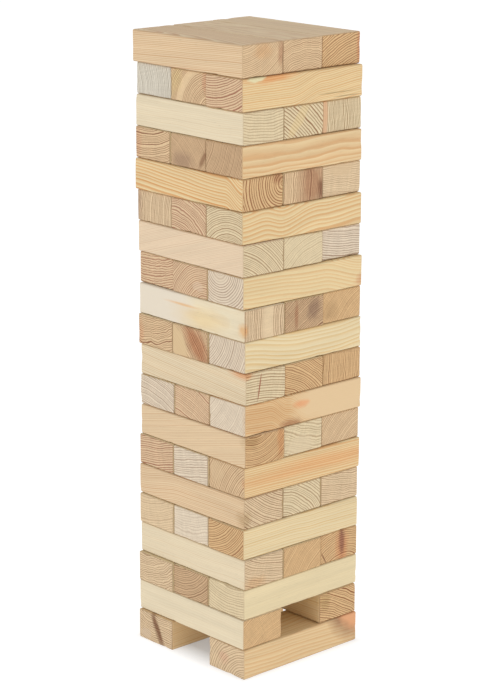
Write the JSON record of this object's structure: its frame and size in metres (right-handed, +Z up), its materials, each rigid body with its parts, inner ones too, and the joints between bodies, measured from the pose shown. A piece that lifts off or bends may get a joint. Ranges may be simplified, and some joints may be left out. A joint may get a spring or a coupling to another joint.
{
  "type": "giant tumbling tower",
  "caption": "Garden stacking game: a tall square tower of loose pine blocks laid crosswise in layers, each block free to be pushed out along its length.",
  "frame": {"origin": "middle of the tower's square footprint, on the ground it stands on", "axes": "+Z up through the stack; odd layers' blocks run along Y and show their ends to the front, -Y; even layers' blocks run along X"},
  "size_m": [0.1569, 0.1561, 0.5998],
  "materials": {
    "pale_pine": "planed, unfinished",
    "resin_pine": "planed, unfinished, resin-rich",
    "heart_pine": "planed, unfinished, greyer heartwood"
  },
  "bodies": {
    "layer_01_left": {"layer_01_left": "heart_pine"},
    "layer_01_right": {"layer_01_right": "resin_pine"},
    "layer_02_front": {"layer_02_front": "pale_pine"},
    "layer_02_back": {"layer_02_back": "resin_pine"},
    "layer_03_left": {"layer_03_left": "heart_pine"},
    "layer_03_middle": {"layer_03_middle": "pale_pine"},
    "layer_03_right": {"layer_03_right": "pale_pine"},
    "layer_04_front": {"layer_04_front": "pale_pine"},
    "layer_04_middle": {"layer_04_middle": "resin_pine"},
    "layer_04_back": {"layer_04_back": "resin_pine"},
    "layer_05_left": {"layer_05_left": "pale_pine"},
    "layer_05_middle": {"layer_05_middle": "heart_pine"},
    "layer_05_right": {"layer_05_right": "resin_pine"},
    "layer_06_front": {"layer_06_front": "resin_pine"},
    "layer_06_middle": {"layer_06_middle": "pale_pine"},
    "layer_06_back": {"layer_06_back": "heart_pine"},
    "layer_07_left": {"layer_07_left": "pale_pine"},
    "layer_07_middle": {"layer_07_middle": "pale_pine"},
    "layer_07_right": {"layer_07_right": "resin_pine"},
    "layer_08_front": {"layer_08_front": "resin_pine"},
    "layer_08_middle": {"layer_08_middle": "pale_pine"},
    "layer_08_back": {"layer_08_back": "resin_pine"},
    "layer_09_left": {"layer_09_left": "heart_pine"},
    "layer_09_middle": {"layer_09_middle": "pale_pine"},
    "layer_09_right": {"layer_09_right": "resin_pine"},
    "layer_10_front": {"layer_10_front": "pale_pine"},
    "layer_10_middle": {"layer_10_middle": "heart_pine"},
    "layer_10_back": {"layer_10_back": "resin_pine"},
    "layer_11_left": {"layer_11_left": "pale_pine"},
    "layer_11_middle": {"layer_11_middle": "resin_pine"},
    "layer_11_right": {"layer_11_right": "pale_pine"},
    "layer_12_front": {"layer_12_front": "pale_pine"},
    "layer_12_middle": {"layer_12_middle": "heart_pine"},
    "layer_12_back": {"layer_12_back": "pale_pine"},
    "layer_13_left": {"layer_13_left": "heart_pine"},
    "layer_13_middle": {"layer_13_middle": "pale_pine"},
    "layer_13_right": {"layer_13_right": "resin_pine"},
    "layer_14_front": {"layer_14_front": "heart_pine"},
    "layer_14_middle": {"layer_14_middle": "pale_pine"},
    "layer_14_back": {"layer_14_back": "pale_pine"},
    "layer_15_left": {"layer_15_left": "heart_pine"},
    "layer_15_middle": {"layer_15_middle": "resin_pine"},
    "layer_15_right": {"layer_15_right": "pale_pine"},
    "layer_16_front": {"layer_16_front": "resin_pine"},
    "layer_16_middle": {"layer_16_middle": "pale_pine"},
    "layer_16_back": {"layer_16_back": "resin_pine"},
    "layer_17_left": {"layer_17_left": "pale_pine"},
    "layer_17_middle": {"layer_17_middle": "heart_pine"},
    "layer_17_right": {"layer_17_right": "resin_pine"},
    "layer_18_front": {"layer_18_front": "pale_pine"},
    "layer_18_middle": {"layer_18_middle": "resin_pine"},
    "layer_18_back": {"layer_18_back": "pale_pine"},
    "layer_19_left": {"layer_19_left": "heart_pine"},
    "layer_19_middle": {"layer_19_middle": "pale_pine"},
    "layer_19_right": {"layer_19_right": "resin_pine"},
    "layer_20_front": {"layer_20_front": "pale_pine"},
    "layer_20_middle": {"layer_20_middle": "pale_pine"},
    "layer_20_back": {"layer_20_back": "resin_pine"}
  },
  "joints": [
    {"name": "layer_01_right_slide", "type": "slide", "parent": "layer_01_left", "child": "layer_01_right", "axis": [-0.0105, 0.9999, 0], "range_m": [-0.16, 0.16]},
    {"name": "layer_02_front_slide", "type": "slide", "parent": "layer_01_left", "child": "layer_02_front", "axis": [0.9999, 0.014, 0], "range_m": [-0.16, 0.16]},
    {"name": "layer_02_back_slide", "type": "slide", "parent": "layer_01_left", "child": "layer_02_back", "axis": [0.9999, 0.014, 0], "range_m": [-0.16, 0.16]},
    {"name": "layer_03_left_slide", "type": "slide", "parent": "layer_01_left", "child": "layer_03_left", "axis": [-0.014, 0.9999, 0], "range_m": [-0.16, 0.16]},
    {"name": "layer_03_middle_slide", "type": "slide", "parent": "layer_01_left", "child": "layer_03_middle", "axis": [-0.014, 0.9999, 0], "range_m": [-0.16, 0.16]},
    {"name": "layer_03_right_slide", "type": "slide", "parent": "layer_01_left", "child": "layer_03_right", "axis": [-0.014, 0.9999, 0], "range_m": [-0.16, 0.16]},
    {"name": "layer_04_front_slide", "type": "slide", "parent": "layer_01_left", "child": "layer_04_front", "axis": [1, 0.007, 0], "range_m": [-0.16, 0.16]},
    {"name": "layer_04_middle_slide", "type": "slide", "parent": "layer_01_left", "child": "layer_04_middle", "axis": [1, 0.007, 0], "range_m": [-0.16, 0.16]},
    {"name": "layer_04_back_slide", "type": "slide", "parent": "layer_01_left", "child": "layer_04_back", "axis": [1, 0.007, 0], "range_m": [-0.16, 0.16]},
    {"name": "layer_05_left_slide", "type": "slide", "parent": "layer_01_left", "child": "layer_05_left", "axis": [-0.007, 1, 0], "range_m": [-0.16, 0.16]},
    {"name": "layer_05_middle_slide", "type": "slide", "parent": "layer_01_left", "child": "layer_05_middle", "axis": [-0.007, 1, 0], "range_m": [-0.16, 0.16]},
    {"name": "layer_05_right_slide", "type": "slide", "parent": "layer_01_left", "child": "layer_05_right", "axis": [-0.007, 1, 0], "range_m": [-0.16, 0.16]},
    {"name": "layer_06_front_slide", "type": "slide", "parent": "layer_01_left", "child": "layer_06_front", "axis": [1, 0.0087, 0], "range_m": [-0.16, 0.16]},
    {"name": "layer_06_middle_slide", "type": "slide", "parent": "layer_01_left", "child": "layer_06_middle", "axis": [1, 0.0087, 0], "range_m": [-0.16, 0.16]},
    {"name": "layer_06_back_slide", "type": "slide", "parent": "layer_01_left", "child": "layer_06_back", "axis": [1, 0.0087, 0], "range_m": [-0.16, 0.16]},
    {"name": "layer_07_left_slide", "type": "slide", "parent": "layer_01_left", "child": "layer_07_left", "axis": [-0.0017, 1, 0], "range_m": [-0.16, 0.16]},
    {"name": "layer_07_middle_slide", "type": "slide", "parent": "layer_01_left", "child": "layer_07_middle", "axis": [-0.0017, 1, 0], "range_m": [-0.16, 0.16]},
    {"name": "layer_07_right_slide", "type": "slide", "parent": "layer_01_left", "child": "layer_07_right", "axis": [-0.0017, 1, 0], "range_m": [-0.16, 0.16]},
    {"name": "layer_08_front_slide", "type": "slide", "parent": "layer_01_left", "child": "layer_08_front", "axis": [1, 0, 0], "range_m": [-0.16, 0.16]},
    {"name": "layer_08_middle_slide", "type": "slide", "parent": "layer_01_left", "child": "layer_08_middle", "axis": [1, 0, 0], "range_m": [-0.16, 0.16]},
    {"name": "layer_08_back_slide", "type": "slide", "parent": "layer_01_left", "child": "layer_08_back", "axis": [1, 0, 0], "range_m": [-0.16, 0.16]},
    {"name": "layer_09_left_slide", "type": "slide", "parent": "layer_01_left", "child": "layer_09_left", "axis": [-0.0035, 1, 0], "range_m": [-0.16, 0.16]},
    {"name": "layer_09_middle_slide", "type": "slide", "parent": "layer_01_left", "child": "layer_09_middle", "axis": [-0.0035, 1, 0], "range_m": [-0.16, 0.16]},
    {"name": "layer_09_right_slide", "type": "slide", "parent": "layer_01_left", "child": "layer_09_right", "axis": [-0.0035, 1, 0], "range_m": [-0.16, 0.16]},
    {"name": "layer_10_front_slide", "type": "slide", "parent": "layer_01_left", "child": "layer_10_front", "axis": [1, 0, 0], "range_m": [-0.16, 0.16]},
    {"name": "layer_10_middle_slide", "type": "slide", "parent": "layer_01_left", "child": "layer_10_middle", "axis": [1, 0, 0], "range_m": [-0.16, 0.16]},
    {"name": "layer_10_back_slide", "type": "slide", "parent": "layer_01_left", "child": "layer_10_back", "axis": [1, 0, 0], "range_m": [-0.16, 0.16]},
    {"name": "layer_11_left_slide", "type": "slide", "parent": "layer_01_left", "child": "layer_11_left", "axis": [-0.0087, 1, 0], "range_m": [-0.16, 0.16]},
    {"name": "layer_11_middle_slide", "type": "slide", "parent": "layer_01_left", "child": "layer_11_middle", "axis": [-0.0087, 1, 0], "range_m": [-0.16, 0.16]},
    {"name": "layer_11_right_slide", "type": "slide", "parent": "layer_01_left", "child": "layer_11_right", "axis": [-0.0087, 1, 0], "range_m": [-0.16, 0.16]},
    {"name": "layer_12_front_slide", "type": "slide", "parent": "layer_01_left", "child": "layer_12_front", "axis": [1, -0.0035, 0], "range_m": [-0.16, 0.16]},
    {"name": "layer_12_middle_slide", "type": "slide", "parent": "layer_01_left", "child": "layer_12_middle", "axis": [1, -0.0035, 0], "range_m": [-0.16, 0.16]},
    {"name": "layer_12_back_slide", "type": "slide", "parent": "layer_01_left", "child": "layer_12_back", "axis": [1, -0.0035, 0], "range_m": [-0.16, 0.16]},
    {"name": "layer_13_left_slide", "type": "slide", "parent": "layer_01_left", "child": "layer_13_left", "axis": [0.007, 1, 0], "range_m": [-0.16, 0.16]},
    {"name": "layer_13_middle_slide", "type": "slide", "parent": "layer_01_left", "child": "layer_13_middle", "axis": [0.007, 1, 0], "range_m": [-0.16, 0.16]},
    {"name": "layer_13_right_slide", "type": "slide", "parent": "layer_01_left", "child": "layer_13_right", "axis": [0.007, 1, 0], "range_m": [-0.16, 0.16]},
    {"name": "layer_14_front_slide", "type": "slide", "parent": "layer_01_left", "child": "layer_14_front", "axis": [0.9999, -0.0105, 0], "range_m": [-0.16, 0.16]},
    {"name": "layer_14_middle_slide", "type": "slide", "parent": "layer_01_left", "child": "layer_14_middle", "axis": [0.9999, -0.0105, 0], "range_m": [-0.16, 0.16]},
    {"name": "layer_14_back_slide", "type": "slide", "parent": "layer_01_left", "child": "layer_14_back", "axis": [0.9999, -0.0105, 0], "range_m": [-0.16, 0.16]},
    {"name": "layer_15_left_slide", "type": "slide", "parent": "layer_01_left", "child": "layer_15_left", "axis": [0.0035, 1, 0], "range_m": [-0.16, 0.16]},
    {"name": "layer_15_middle_slide", "type": "slide", "parent": "layer_01_left", "child": "layer_15_middle", "axis": [0.0035, 1, 0], "range_m": [-0.16, 0.16]},
    {"name": "layer_15_right_slide", "type": "slide", "parent": "layer_01_left", "child": "layer_15_right", "axis": [0.0035, 1, 0], "range_m": [-0.16, 0.16]},
    {"name": "layer_16_front_slide", "type": "slide", "parent": "layer_01_left", "child": "layer_16_front", "axis": [1, 0.007, 0], "range_m": [-0.16, 0.16]},
    {"name": "layer_16_middle_slide", "type": "slide", "parent": "layer_01_left", "child": "layer_16_middle", "axis": [1, 0.007, 0], "range_m": [-0.16, 0.16]},
    {"name": "layer_16_back_slide", "type": "slide", "parent": "layer_01_left", "child": "layer_16_back", "axis": [1, 0.007, 0], "range_m": [-0.16, 0.16]},
    {"name": "layer_17_left_slide", "type": "slide", "parent": "layer_01_left", "child": "layer_17_left", "axis": [0, 1, 0], "range_m": [-0.16, 0.16]},
    {"name": "layer_17_middle_slide", "type": "slide", "parent": "layer_01_left", "child": "layer_17_middle", "axis": [0, 1, 0], "range_m": [-0.16, 0.16]},
    {"name": "layer_17_right_slide", "type": "slide", "parent": "layer_01_left", "child": "layer_17_right", "axis": [0, 1, 0], "range_m": [-0.16, 0.16]},
    {"name": "layer_18_front_slide", "type": "slide", "parent": "layer_01_left", "child": "layer_18_front", "axis": [1, -0.0035, 0], "range_m": [-0.16, 0.16]},
    {"name": "layer_18_middle_slide", "type": "slide", "parent": "layer_01_left", "child": "layer_18_middle", "axis": [1, -0.0035, 0], "range_m": [-0.16, 0.16]},
    {"name": "layer_18_back_slide", "type": "slide", "parent": "layer_01_left", "child": "layer_18_back", "axis": [1, -0.0035, 0], "range_m": [-0.16, 0.16]},
    {"name": "layer_19_left_slide", "type": "slide", "parent": "layer_01_left", "child": "layer_19_left", "axis": [-0.0035, 1, 0], "range_m": [-0.16, 0.16]},
    {"name": "layer_19_middle_slide", "type": "slide", "parent": "layer_01_left", "child": "layer_19_middle", "axis": [-0.0035, 1, 0], "range_m": [-0.16, 0.16]},
    {"name": "layer_19_right_slide", "type": "slide", "parent": "layer_01_left", "child": "layer_19_right", "axis": [-0.0035, 1, 0], "range_m": [-0.16, 0.16]},
    {"name": "layer_20_front_lift", "type": "slide", "parent": "layer_01_left", "child": "layer_20_front", "axis": [0, 0, 1], "range_m": [0, 0.12]},
    {"name": "layer_20_middle_lift", "type": "slide", "parent": "layer_01_left", "child": "layer_20_middle", "axis": [0, 0, 1], "range_m": [0, 0.12]},
    {"name": "layer_20_back_lift", "type": "slide", "parent": "layer_01_left", "child": "layer_20_back", "axis": [0, 0, 1], "range_m": [0, 0.12]}
  ]
}
